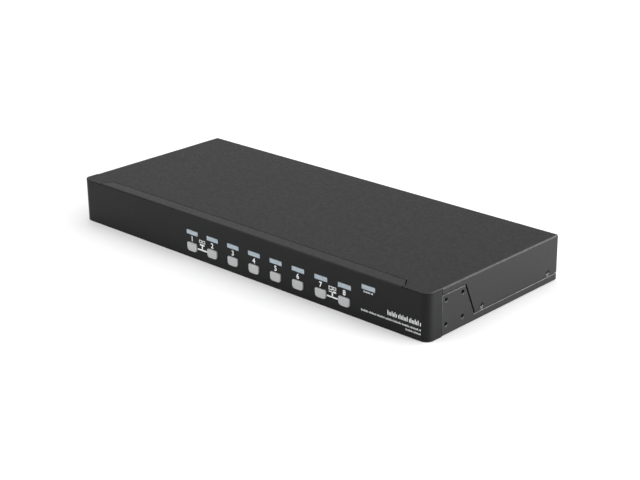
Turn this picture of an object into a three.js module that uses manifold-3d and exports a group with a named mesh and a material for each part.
// An eight-port keyboard, video and mouse switch in a one-unit rack case: a folded steel base, a folded
// cover and a front panel, eight sprung push buttons, light pipes, two boards joined by a ribbon cable,
// and the sockets of the back wall.
//
// Millimetres, +Z up. The front faces -Y, and +X is to the right of someone looking at the front.
// The origin is in the middle of the underside of the whole object, buttons and rear sockets included.
import * as THREE from "three";
import { mergeVertices } from "three/addons/utils/BufferGeometryUtils.js";
import Module from "manifold-3d";

const wasm = await Module();
wasm.setup();

// ---------------------------------------------------------------- driving dimensions

const WIDTH = 440;
const DEPTH = 180;
const HEIGHT = 43;
const STEEL = 1; // sheet of the base and the cover
const PANEL = 1.2; // sheet of the front panel
const CLEAR = 0.3; // room between two neighbouring pieces
const ARC_STEPS = 2; // half the straight steps in a rounded corner
const FINE_STEPS = 4; // the same in a large one
const ROUND = 12; // sides of a small round pin or hole

// Front panel
const CORNER_R = 7.4; // outer radius of its upright corners
const WRAP = 18; // how far it reaches back along each side
const FOLD_R = 1.4; // outer radius of its top fold
const TOP_STRIP = { half: 192.5, backHalf: 186.5, slantFrom: 3.5, depth: 12 };

// Side walls, as distances behind the front face and above the underside
const LIP_TOP = 6.4;
const EAR = { top: 36.2, topEnd: 47.9, footEnd: 60.6 };
const SEAM = 0.75; // open seam between the base's ear and lip and the cover's side
const BRACKET_HOLES = { y: 34.05, z: 20.4, spacing: 21.7, radius: 2 };
const COVER_SCREW = { ys: [71.1, 166.2], z: 10.4, hole: 3, head: 2.7, shank: 1.2 };
const INNER_FLANGE = { offset: 1.4, from: 19, to: 176, low: 16, tall: 38, tallEnd: 62, lowFrom: 66 };

// Buttons and lights
const PORTS = 8;
const PITCH = 27.2;
const FIRST_X = -61.2;
const BUTTON = { width: 12.7, height: 8.3, z: 10.95, proud: 1, topR: 1.2, footR: 3.2, stem: 1.6 };
const BUTTON_FLANGE = { half: 7.8, tall: 5.4 };
const STEM_END = 8.6;
const LIGHT = { width: 15, height: 4.3, z: 24.9, powerZ: 30.6, recess: 0.2, gap: 0.15 };
const PIPE_END = 9.6; // where the light guides stop, just in front of the lamps
const SLIDE_GAP = 0.35; // room around a button in its hole

// Boards
const FRONT_BOARD = { y: 12.2, thick: 1.6, x0: -90, x1: 176, z0: 3.6, z1: 37.5 };
const FRONT_BOSSES = [[-82, 31], [-82, 9], [34, 33], [168, 14]];
const MAIN_BOARD = { x0: -206, x1: 214, y0: 60, y1: 175, z: 9, thick: 1.6 };
const BOARD_SCREWS = [[-198, 68], [206, 68], [-198, 150], [206, 150]];
const BOARD_TOP = MAIN_BOARD.z + MAIN_BOARD.thick + CLEAR; // where things on the main board sit

// Back wall
const PORT_REACH = 5.2; // how far the sockets stand out of it
const PC_PORT_X = 108; // the first computer's socket, the others follow towards -X
const PC_PORT_PITCH = 40;
const CONSOLE_X = 152;
const USB_X = 181;
const DC_X = 203;
const DSUB = { width: 16.3, height: 7.9, slant: 10, wall: 0.4, flangeW: 30.8, flangeH: 12.5, screwX: 12.5 };
const DSUB_Z = BOARD_TOP + DSUB.flangeH / 2;
const USB = { half: 6.9, tall: 15.8, mouthHalf: 6.25, mouthTall: 5.1, mouths: [1.5, 9.2], long: 12 };
const DC = { half: 4.6, tall: 11, axisZ: 5.6, nose: 4.2, bore: 3.2, pin: 1.05 };

// Places that follow from them
const HALF = WIDTH / 2;
const COVER_UNDERSIDE = HEIGHT - STEEL;
const FRONT_FACE = (BUTTON.proud - DEPTH - PORT_REACH) / 2; // y of the front face in the object's frame
const portNumbers = Array.from({ length: PORTS }, (_, i) => i + 1);
const buttonX = (n) => FIRST_X + (n - 1) * PITCH;
const POWER_X = 156;
const pcPortX = (n) => PC_PORT_X - (n - 1) * PC_PORT_PITCH;
const dsubXs = [CONSOLE_X, ...portNumbers.map(pcPortX)];

// ---------------------------------------------------------------- materials

const paint = (color, roughness, metalness = 0) =>
  new THREE.MeshStandardMaterial({ color, roughness, metalness });
const blackPaint = paint(0x2b2b2d, 0.5);
const panelPaint = paint(0x1f2123, 0.4);
const greyKeys = paint(0xb4b6b8, 0.5);
const paleLens = paint(0xafbac4, 0.3);
const greenBoard = paint(0x1d5a35, 0.5);
const blackPlastic = paint(0x18181a, 0.45);
const bluePlastic = paint(0x1c4fa0, 0.45);
const ribbonGrey = paint(0x9a9c9e, 0.6);
const tin = paint(0xc4c6c8, 0.3, 1);
const zincScrew = paint(0x3a3a3c, 0.35, 1);
const brightAluminium = paint(0xa8abae, 0.4, 1);

// ---------------------------------------------------------------- shapes and solids

// A closed outline through [a, b] or [a, b, radius] points. A corner that states a radius becomes an arc.
function traced(path, points) {
  const vertex = (i) => new THREE.Vector2(...points.at(i % points.length).slice(0, 2));
  points.forEach(([a, b, radius], i) => {
    if (radius) {
      const corner = vertex(i);
      const into = corner.clone().sub(vertex(i - 1)).normalize();
      const out = vertex(i + 1).sub(corner).normalize();
      const turn = Math.atan2(into.cross(out), into.dot(out));
      const inward = new THREE.Vector2(-into.y, into.x).multiplyScalar(radius * Math.sign(turn));
      const start = corner.addScaledVector(into, -radius * Math.tan(Math.abs(turn) / 2));
      const middle = start.add(inward);
      const from = into.angle() - (Math.sign(turn) * Math.PI) / 2;
      path.absarc(middle.x, middle.y, radius, from, from + turn, turn < 0);
    } else if (i === 0) {
      path.moveTo(a, b);
    } else {
      path.lineTo(a, b);
    }
  });
  path.closePath();
  return path;
}

const outline = (points) => traced(new THREE.Shape(), points);
const shapeOf = (path) => new THREE.Shape(path.getPoints(ARC_STEPS));
const rectangle = (a0, a1, b0, b1) => outline([[a0, b0], [a1, b0], [a1, b1], [a0, b1]]);

function withHoles(shape, holes) {
  shape.holes.push(...holes);
  return shape;
}

// A round hole as a polygon of the same number of sides as the pins that go through it.
function roundHole(a, b, radius, sides = ROUND) {
  const middle = new THREE.Vector2(a, b);
  const first = new THREE.Vector2(a + radius, b);
  const corner = (i) => first.clone().rotateAround(middle, (i * 2 * Math.PI) / sides);
  return new THREE.Path(Array.from({ length: sides }, (_, i) => corner(i)));
}

// A three.js geometry as a manifold-3d solid.
function solid(geometry) {
  const bare = new THREE.BufferGeometry().setAttribute("position", geometry.getAttribute("position"));
  bare.setIndex(geometry.index);
  const merged = mergeVertices(bare);
  return new wasm.Manifold(
    new wasm.Mesh({
      numProp: 3,
      vertProperties: merged.attributes.position.array,
      triVerts: new Uint32Array(merged.index.array),
    }),
  );
}

const extruded = (shape, depth, curveSegments) =>
  new THREE.ExtrudeGeometry(shape, { depth, bevelEnabled: false, curveSegments });
const YZ_TO_X = new THREE.Matrix4().makeBasis(
  new THREE.Vector3(0, 1, 0),
  new THREE.Vector3(0, 0, 1),
  new THREE.Vector3(1, 0, 0),
);

// An outline drawn in (y, z), (x, z) or (x, y), made solid between two places on the third axis.
const alongX = (shape, x0, x1, steps = ARC_STEPS) =>
  solid(extruded(shape, x1 - x0, steps).applyMatrix4(YZ_TO_X).translate(x0, 0, 0));
const alongY = (shape, y0, y1, steps = ARC_STEPS) =>
  solid(extruded(shape, y1 - y0, steps).rotateX(Math.PI / 2).translate(0, y1, 0));
const alongZ = (shape, z0, z1, steps = ARC_STEPS) =>
  solid(extruded(shape, z1 - z0, steps).translate(0, 0, z0));

const block = (x0, x1, y0, y1, z0, z1) =>
  solid(
    new THREE.BoxGeometry(x1 - x0, y1 - y0, z1 - z0).translate((x0 + x1) / 2, (y0 + y1) / 2, (z0 + z1) / 2),
  );

const cylinder = (radius, length, sides) => new THREE.CylinderGeometry(radius, radius, length, sides);
const rodY = (radius, x, z, y0, y1, sides = ROUND) =>
  solid(cylinder(radius, y1 - y0, sides).translate(x, (y0 + y1) / 2, z));
const rodX = (radius, y, z, x0, x1, sides = ROUND) =>
  solid(cylinder(radius, x1 - x0, sides).rotateZ(Math.PI / 2).translate((x0 + x1) / 2, y, z));
const rodZ = (radius, x, y, z0, z1, sides = ROUND) =>
  solid(cylinder(radius, z1 - z0, sides).rotateX(Math.PI / 2).translate(x, y, (z0 + z1) / 2));

const joined = (...pieces) => pieces.reduce((a, b) => a.add(b));
const cutBy = (piece, ...tools) => tools.reduce((a, b) => a.subtract(b), piece);

// A named mesh of a solid.
function made(name, piece, material) {
  const mesh = piece.getMesh();
  const geometry = new THREE.BufferGeometry()
    .setAttribute("position", new THREE.BufferAttribute(mesh.vertProperties, 3))
    .setIndex(new THREE.BufferAttribute(mesh.triVerts, 1))
    .toNonIndexed();
  geometry.computeVertexNormals();
  const result = new THREE.Mesh(geometry, material);
  result.name = name;
  return result;
}

function placed(mesh, x, y, z) {
  mesh.position.set(x, y, z);
  return mesh;
}

// ---------------------------------------------------------------- outlines used more than once

// The D of a 15-way socket's shell, wide side up, grown by a margin all round.
function dOutline(margin, cx = 0, cz = 0, path = new THREE.Shape()) {
  const half = DSUB.width / 2 + margin;
  const tall = DSUB.height / 2 + margin;
  const foot = half - 2 * tall * Math.tan(THREE.MathUtils.degToRad(DSUB.slant));
  const corner = 2.4 + margin;
  return traced(path, [
    [cx - foot, cz - tall, corner],
    [cx + foot, cz - tall, corner],
    [cx + half, cz + tall, corner],
    [cx - half, cz + tall, corner],
  ]);
}

// A button's face: small radii above and large ones below.
function buttonOutline(margin, cx = 0, cz = 0, path = new THREE.Shape()) {
  const half = BUTTON.width / 2 + margin;
  const tall = BUTTON.height / 2 + margin;
  return traced(path, [
    [cx - half, cz - tall, BUTTON.footR],
    [cx + half, cz - tall, BUTTON.footR],
    [cx + half, cz + tall, BUTTON.topR],
    [cx - half, cz + tall, BUTTON.topR],
  ]);
}

function lightHole(cx, cz) {
  const half = LIGHT.width / 2 + LIGHT.gap;
  const tall = LIGHT.height / 2 + LIGHT.gap;
  return traced(new THREE.Path(), [
    [cx - half, cz - tall],
    [cx + half, cz - tall],
    [cx + half, cz + tall],
    [cx - half, cz + tall],
  ]);
}

const bracketHoles = (radius) =>
  [-1, 1].flatMap((dy) =>
    [-1, 1].map((dz) =>
      roundHole(
        BRACKET_HOLES.y + (dy * BRACKET_HOLES.spacing) / 2,
        BRACKET_HOLES.z + (dz * BRACKET_HOLES.spacing) / 2,
        radius,
      ),
    ),
  );

// ---------------------------------------------------------------- sheet metal, front face at y = 0

function baseFloor() {
  const inner = HALF - PANEL - CLEAR;
  const front = PANEL + CLEAR;
  const step = WRAP + CLEAR;
  return alongZ(
    outline([
      [-HALF, step],
      [-inner, step],
      [-inner, front, CORNER_R - front],
      [inner, front, CORNER_R - front],
      [inner, step],
      [HALF, step],
      [HALF, DEPTH],
      [-HALF, DEPTH],
    ]),
    0,
    STEEL,
    FINE_STEPS,
  );
}

// The low lip along one side, and the ear at its front that takes a rack bracket.
function baseSide(side) {
  const shape = outline([
    [WRAP + CLEAR, 0],
    [DEPTH, 0],
    [DEPTH, LIP_TOP],
    [EAR.footEnd, LIP_TOP],
    [EAR.topEnd, EAR.top, 1.6],
    [WRAP + CLEAR, EAR.top],
  ]);
  withHoles(shape, bracketHoles(BRACKET_HOLES.radius));
  const inner = HALF - STEEL;
  return side > 0 ? alongX(shape, inner, HALF) : alongX(shape, -HALF, -inner);
}

// The flange inside the cover's side that its screws bite into. It is tall behind the ear's slanted edge.
function innerFlange(side) {
  const f = INNER_FLANGE;
  const screwHoles = COVER_SCREW.ys.map((y) => roundHole(y, COVER_SCREW.z, COVER_SCREW.shank + CLEAR));
  const shape = outline([
    [f.from, STEEL / 2],
    [f.to, STEEL / 2],
    [f.to, f.low],
    [f.lowFrom, f.low],
    [f.tallEnd, f.tall],
    [f.from, f.tall],
  ]);
  withHoles(shape, [...screwHoles, ...bracketHoles(BRACKET_HOLES.radius + CLEAR)]);
  const outer = HALF - f.offset;
  return side > 0 ? alongX(shape, outer - STEEL, outer) : alongX(shape, -outer, STEEL - outer);
}

function backWall() {
  const half = HALF - INNER_FLANGE.offset;
  const top = COVER_UNDERSIDE - CLEAR - 0.1;
  const shape = rectangle(-half, half, 0, top);
  const holes = dsubXs.flatMap((x) => [
    dOutline(CLEAR, x, DSUB_Z, new THREE.Path()),
    roundHole(x - DSUB.screwX, DSUB_Z, 1.75),
    roundHole(x + DSUB.screwX, DSUB_Z, 1.75),
  ]);
  holes.push(roundHole(DC_X, BOARD_TOP + DC.axisZ, DC.nose + CLEAR, 20));
  const usbHalf = USB.half + CLEAR;
  holes.push(
    traced(new THREE.Path(), [
      [USB_X - usbHalf, BOARD_TOP - CLEAR],
      [USB_X + usbHalf, BOARD_TOP - CLEAR],
      [USB_X + usbHalf, BOARD_TOP + USB.tall + CLEAR],
      [USB_X - usbHalf, BOARD_TOP + USB.tall + CLEAR],
    ]),
  );
  const wall = alongY(withHoles(shape, holes), DEPTH - STEEL, DEPTH);
  const topFlange = block(-half + 2, half - 2, DEPTH - 10, DEPTH - STEEL / 2, top - STEEL, top);
  return joined(wall, topFlange);
}

function basePan() {
  const standoffs = BOARD_SCREWS.map(([x, y]) =>
    cutBy(rodZ(3, x, y, STEEL / 2, MAIN_BOARD.z - CLEAR), rodZ(1.45, x, y, 3.5, MAIN_BOARD.z)),
  );
  const sides = [-1, 1].flatMap((side) => [baseSide(side), innerFlange(side)]);
  return joined(baseFloor(), ...sides, backWall(), ...standoffs);
}

// The top strip's plan, grown sideways and backwards by a margin.
const stripPlan = (front, margin) =>
  outline([
    [-TOP_STRIP.half - margin, front],
    [TOP_STRIP.half + margin, front],
    [TOP_STRIP.half + margin, TOP_STRIP.slantFrom + margin / 2],
    [TOP_STRIP.backHalf + margin, TOP_STRIP.depth + margin],
    [-TOP_STRIP.backHalf - margin, TOP_STRIP.depth + margin],
    [-TOP_STRIP.half - margin, TOP_STRIP.slantFrom + margin / 2],
  ]);

function topCover() {
  const bendR = 1.6;
  const inner = HALF - STEEL;
  const section = outline([
    [-HALF, LIP_TOP],
    [-inner, LIP_TOP],
    [-inner, COVER_UNDERSIDE],
    [inner, COVER_UNDERSIDE],
    [inner, LIP_TOP],
    [HALF, LIP_TOP],
    [HALF, HEIGHT, bendR],
    [-HALF, HEIGHT, bendR],
  ]);
  const folded = alongY(section, WRAP + CLEAR, DEPTH);
  const frontPlate = alongZ(
    outline([
      [-HALF, 0, CORNER_R],
      [HALF, 0, CORNER_R],
      [HALF, WRAP],
      [HALF - 2, WRAP],
      [HALF - 2, WRAP + 2],
      [2 - HALF, WRAP + 2],
      [2 - HALF, WRAP],
      [-HALF, WRAP],
    ]),
    COVER_UNDERSIDE,
    HEIGHT,
    FINE_STEPS,
  );
  const strip = alongZ(stripPlan(-1, SEAM), COVER_UNDERSIDE - 1, HEIGHT + 1);
  const openSide = outline([
    [WRAP, 0],
    [DEPTH + 1, 0],
    [DEPTH + 1, LIP_TOP + SEAM],
    [EAR.footEnd + 2 * SEAM, LIP_TOP + SEAM],
    [EAR.topEnd + 2 * SEAM, EAR.top + SEAM],
    [WRAP, EAR.top + SEAM],
  ]);
  const out = HALF + 1;
  const screwHoles = COVER_SCREW.ys.map((y) => rodX(COVER_SCREW.hole, y, COVER_SCREW.z, -out, out));
  return cutBy(joined(folded, frontPlate), strip, alongX(openSide, -out, out), ...screwHoles);
}

// The panel's upright wall in plan: straight across the front and round both corners.
function wrapPlan() {
  const inner = HALF - PANEL;
  return outline([
    [-HALF, WRAP],
    [-HALF, 0, CORNER_R],
    [HALF, 0, CORNER_R],
    [HALF, WRAP],
    [inner, WRAP],
    [inner, PANEL, CORNER_R - PANEL],
    [-inner, PANEL, CORNER_R - PANEL],
    [-inner, WRAP],
  ]);
}

function frontPanel() {
  const wall = alongZ(wrapPlan(), 0, COVER_UNDERSIDE - CLEAR, FINE_STEPS);
  const foldSection = outline([
    [0, COVER_UNDERSIDE - 2],
    [0, HEIGHT, FOLD_R],
    [TOP_STRIP.depth, HEIGHT],
    [TOP_STRIP.depth, COVER_UNDERSIDE],
    [PANEL, COVER_UNDERSIDE],
    [PANEL, COVER_UNDERSIDE - 2],
  ]);
  const fold = alongX(foldSection, -TOP_STRIP.half, TOP_STRIP.half).intersect(
    alongZ(stripPlan(-1, 0), 0, HEIGHT + 1),
  );
  const shelf = STEEL + CLEAR; // the bottom flange lies on the base's floor
  const bottomFlange = block(15 - HALF, HALF - 15, PANEL / 2, 10, shelf, shelf + PANEL);
  const bosses = FRONT_BOSSES.map(([x, z]) =>
    cutBy(
      rodY(2.5, x, z, PANEL / 2, FRONT_BOARD.y - CLEAR),
      rodY(1.25, x, z, PANEL + 4, FRONT_BOARD.y),
    ),
  );
  const holes = portNumbers.flatMap((n) => [
    alongY(shapeOf(buttonOutline(SLIDE_GAP, buttonX(n), BUTTON.z)), -1, PANEL + 1),
    alongY(shapeOf(lightHole(buttonX(n), LIGHT.z)), -1, PANEL + 1),
  ]);
  holes.push(alongY(shapeOf(lightHole(POWER_X, LIGHT.powerZ)), -1, PANEL + 1));
  return cutBy(joined(wall, fold, bottomFlange, ...bosses), ...holes);
}

// ---------------------------------------------------------------- buttons, switches and lights

// A key cap, its retaining flange and the stem that presses the switch. Its origin is the middle of the
// cap, in the plane of the panel's face.
function portButton() {
  const flangeFront = PANEL + CLEAR;
  const cap = alongY(buttonOutline(0), -BUTTON.proud, flangeFront + 0.2);
  const { half, tall } = BUTTON_FLANGE;
  const flange = block(-half, half, flangeFront, flangeFront + 1, -tall, tall);
  const stem = rodY(BUTTON.stem, 0, 0, flangeFront + 0.5, STEM_END);
  return joined(cap, flange, stem);
}

// A 6 mm push switch. Its origin is the middle of its foot, in the plane of the board's face.
function tactSwitch() {
  const body = block(-3, 3, -3.8, -CLEAR, -3, 3);
  return cutBy(body, rodY(BUTTON.stem + CLEAR, 0, 0, -4, -2));
}

// A lens in the panel and the guide behind it, which carries the lamp's light forward.
function lightPipe() {
  const half = LIGHT.width / 2;
  const tall = LIGHT.height / 2;
  const lens = block(-half, half, LIGHT.recess, 3, -tall, tall);
  const guide = block(-2.5, 2.5, 2.5, PIPE_END, -1.2, 1.2);
  return joined(lens, guide);
}

const pipeCollar = (x0, x1) => block(x0, x1, PANEL + CLEAR, PANEL + 2, -3.2, 3.2);

function lightPipeStrip() {
  const pipes = portNumbers.map((n) => lightPipe().translate([buttonX(n), 0, 0]));
  return joined(pipeCollar(buttonX(1) - 10, buttonX(PORTS) + 10), ...pipes);
}

const powerLightPipe = () => joined(pipeCollar(-10, 10), lightPipe());

function frontControls() {
  const group = new THREE.Group();
  for (const n of portNumbers) {
    group.add(placed(made(`port_button_${n}`, portButton(), greyKeys), buttonX(n), 0, BUTTON.z));
    group.add(
      placed(made(`tact_switch_${n}`, tactSwitch(), blackPlastic), buttonX(n), FRONT_BOARD.y, BUTTON.z),
    );
  }
  group.add(placed(made("light_pipe_strip", lightPipeStrip(), paleLens), 0, 0, LIGHT.z));
  group.add(placed(made("power_light_pipe", powerLightPipe(), paleLens), POWER_X, 0, LIGHT.powerZ));
  return group;
}

// ---------------------------------------------------------------- boards

// The board behind the front panel, with the nine lamps soldered to its face.
function frontBoard() {
  const b = FRONT_BOARD;
  const screwHoles = FRONT_BOSSES.map(([x, z]) => roundHole(x, z, 1.5));
  const board = alongY(withHoles(rectangle(b.x0, b.x1, b.z0, b.z1), screwHoles), b.y, b.y + b.thick);
  const lamp = (x, z) => block(x - 1.6, x + 1.6, b.y - 2, b.y + 0.5, z - 1, z + 1);
  const lamps = portNumbers.map((n) => lamp(buttonX(n), LIGHT.z));
  return joined(board, ...lamps, lamp(POWER_X, LIGHT.powerZ));
}

function mainBoard() {
  const b = MAIN_BOARD;
  const screwHoles = BOARD_SCREWS.map(([x, y]) => roundHole(x, y, 1.6));
  return alongZ(withHoles(rectangle(b.x0, b.x1, b.y0, b.y1), screwHoles), b.z, b.z + b.thick);
}

const RIBBON = { x0: -28.7, x1: -3.3, thick: 0.9, exitZ: 18, mainY: 70 };
const HEADER = { x0: -32, x1: 0, deep: 8, tall: 8 };

// The flat cable leaves the front header straight back and comes down into the main board's header.
function ribbonCable() {
  const startY = FRONT_BOARD.y + FRONT_BOARD.thick + HEADER.deep + 2 * CLEAR;
  const endZ = BOARD_TOP + HEADER.tall + CLEAR;
  const middle = new THREE.CubicBezierCurve(
    new THREE.Vector2(startY, RIBBON.exitZ),
    new THREE.Vector2(startY + 28, RIBBON.exitZ),
    new THREE.Vector2(RIBBON.mainY, endZ + 26),
    new THREE.Vector2(RIBBON.mainY, endZ),
  );
  const steps = 20;
  const edge = (side) =>
    Array.from({ length: steps + 1 }, (_, i) => {
      const at = middle.getPoint(i / steps);
      const along = middle.getTangent(i / steps);
      const out = (side * RIBBON.thick) / 2;
      return new THREE.Vector2(at.x - along.y * out, at.y + along.x * out);
    });
  return alongX(new THREE.Shape([...edge(-1), ...edge(1).reverse()]), RIBBON.x0, RIBBON.x1);
}

function frontHeader() {
  const y = FRONT_BOARD.y + FRONT_BOARD.thick + CLEAR;
  const half = HEADER.tall / 2;
  return block(HEADER.x0, HEADER.x1, y, y + HEADER.deep, RIBBON.exitZ - half, RIBBON.exitZ + half);
}

function mainHeader() {
  const y = RIBBON.mainY - HEADER.deep / 2;
  return block(HEADER.x0, HEADER.x1, y, y + HEADER.deep, BOARD_TOP, BOARD_TOP + HEADER.tall);
}

// A comb of fins on a plate, standing on the switch chip.
function heatSink() {
  const half = 20;
  const foot = 3;
  const finTop = 13;
  const finPitch = 5.5;
  const plate = block(-half, half, -half, half, 0, foot);
  const fins = [-3, -2, -1, 0, 1, 2, 3].map((i) =>
    block(i * finPitch - 0.8, i * finPitch + 0.8, -half, half, foot - 0.5, finTop),
  );
  return joined(plate, ...fins);
}

const chip = (half, tall) => block(-half, half, -half, half, 0, tall);
const CHIP_TALL = 1.6;

// A pan-head screw with its origin under the head, pointing up.
const boardScrew = () => joined(rodZ(2.6, 0, 0, 0, 1.9), rodZ(1.1, 0, 0, -6.5, 0.5));

function boards() {
  const group = new THREE.Group();
  group.add(made("front_board", frontBoard(), greenBoard));
  group.add(made("main_board", mainBoard(), greenBoard));
  group.add(made("ribbon_cable", ribbonCable(), ribbonGrey));
  group.add(made("front_ribbon_header", frontHeader(), blackPlastic));
  group.add(made("main_ribbon_header", mainHeader(), blackPlastic));
  BOARD_SCREWS.forEach(([x, y], i) => {
    group.add(placed(made(`main_board_screw_${i + 1}`, boardScrew(), tin), x, y, BOARD_TOP));
  });
  const onBoard = (name, piece, material, x, y, lift = 0) =>
    group.add(placed(made(name, piece, material), x, y, BOARD_TOP + lift));
  onBoard("video_switch_chip", chip(14, CHIP_TALL), blackPlastic, -70, 112);
  onBoard("heat_sink", heatSink(), brightAluminium, -70, 112, CHIP_TALL + CLEAR);
  onBoard("processor_chip", chip(8, CHIP_TALL), blackPlastic, 60, 105);
  onBoard("bulk_capacitor", rodZ(5, 0, 0, 0, 12, 20), blackPlastic, 185, 130);
  return group;
}

// ---------------------------------------------------------------- rear sockets, back wall's face at y = 0

const FLANGE_FACE = -STEEL - CLEAR; // the sockets' flanges lie inside the back wall
const FLANGE_THICK = 0.8;

// A hexagonal standoff screw: its neck goes through the back wall, and its bore takes a plug's thumbscrew.
function jackScrew(x) {
  const hex = rodY(2.7, x, 0, CLEAR, PORT_REACH - 0.2, 6);
  const neck = rodY(1.4, x, 0, FLANGE_FACE - 0.4, CLEAR + 0.5);
  return cutBy(joined(hex, neck), rodY(1.3, x, 0, 1.4, PORT_REACH, 8));
}

// The metal shell of a 15-way socket with its flange and two standoff screws.
function dsubShell() {
  const flangeBack = FLANGE_FACE - FLANGE_THICK;
  const flange = block(
    -DSUB.flangeW / 2,
    DSUB.flangeW / 2,
    flangeBack,
    FLANGE_FACE,
    -DSUB.flangeH / 2,
    DSUB.flangeH / 2,
  );
  const tube = alongY(dOutline(0), flangeBack + 0.1, PORT_REACH);
  const inside = alongY(dOutline(-DSUB.wall), flangeBack - 1, PORT_REACH + 1);
  return joined(cutBy(joined(flange, tube), inside), jackScrew(-DSUB.screwX), jackScrew(DSUB.screwX));
}

// The insulator inside the shell and the housing behind it that stands on the board.
function dsubInsert() {
  const housingFront = FLANGE_FACE - FLANGE_THICK - CLEAR;
  const nose = alongY(dOutline(-DSUB.wall - CLEAR), housingFront - 0.5, PORT_REACH - 0.2);
  const half = DSUB.flangeW / 2;
  const tall = DSUB.flangeH / 2;
  return joined(nose, block(-half, half, housingFront - 9, housingFront, -tall, tall));
}

// Two USB sockets, one above the other, in one can that is open at its back.
function usbShell() {
  const can = block(-USB.half, USB.half, -USB.long, 0.9, 0, USB.tall);
  const mouths = USB.mouths.map((z) =>
    block(-USB.mouthHalf, USB.mouthHalf, -USB.long - 1, 2, z, z + USB.mouthTall),
  );
  return cutBy(can, ...mouths);
}

// The contact tongues of both sockets on one spine.
function usbInsert() {
  const spine = block(-USB.mouthHalf, USB.mouthHalf, -USB.long - 3, -USB.long - CLEAR, 1, USB.tall - 1);
  const tongues = USB.mouths.map((z) => block(-5.6, 5.6, -USB.long - 1, 0.2, z + 2.6, z + 4.4));
  return joined(spine, ...tongues);
}

function dcJackBody() {
  const body = block(-DC.half, DC.half, -13, FLANGE_FACE, 0, DC.tall);
  const nose = rodY(DC.nose, 0, DC.axisZ, FLANGE_FACE - 0.5, 0.6, 20);
  return cutBy(joined(body, nose), rodY(DC.bore, 0, DC.axisZ, -9, 1, 20));
}

const dcJackPin = () => rodY(DC.pin, 0, DC.axisZ, -9 + CLEAR, -0.2);

function rearSockets() {
  const group = new THREE.Group();
  group.position.y = DEPTH;
  const dsub = (name, x) => {
    group.add(placed(made(`${name}_shell`, dsubShell(), tin), x, 0, DSUB_Z));
    group.add(placed(made(`${name}_insert`, dsubInsert(), bluePlastic), x, 0, DSUB_Z));
  };
  portNumbers.forEach((n) => dsub(`pc_port_${n}`, pcPortX(n)));
  dsub("console_port", CONSOLE_X);
  group.add(placed(made("usb_shell", usbShell(), tin), USB_X, 0, BOARD_TOP));
  group.add(placed(made("usb_insert", usbInsert(), blackPlastic), USB_X, 0, BOARD_TOP));
  group.add(placed(made("dc_jack_body", dcJackBody(), blackPlastic), DC_X, 0, BOARD_TOP));
  group.add(placed(made("dc_jack_pin", dcJackPin(), tin), DC_X, 0, BOARD_TOP));
  return group;
}

// ---------------------------------------------------------------- the case and the whole object

// A countersunk cover screw, head at its origin and shank pointing to -X.
function coverScrew() {
  const head = rodX(COVER_SCREW.head, 0, 0, -STEEL, -0.1);
  return joined(head, rodX(COVER_SCREW.shank, 0, 0, -6, -STEEL / 2));
}

function caseParts() {
  const group = new THREE.Group();
  group.add(made("base_pan", basePan(), blackPaint));
  group.add(made("top_cover", topCover(), blackPaint));
  group.add(made("front_panel", frontPanel(), panelPaint));
  for (const [side, name] of [[1, "right"], [-1, "left"]]) {
    COVER_SCREW.ys.forEach((y, i) => {
      const end = i === 0 ? "front" : "back";
      const screw = made(`cover_screw_${name}_${end}`, coverScrew(), zincScrew);
      screw.rotation.z = side > 0 ? 0 : Math.PI;
      group.add(placed(screw, side * HALF, y, COVER_SCREW.z));
    });
  }
  return group;
}

const kvmSwitch = new THREE.Group();
kvmSwitch.name = "kvm_switch";
const fromFrontFace = new THREE.Group();
fromFrontFace.position.y = FRONT_FACE;
fromFrontFace.add(caseParts(), frontControls(), boards(), rearSockets());
kvmSwitch.add(fromFrontFace);

export default kvmSwitch;
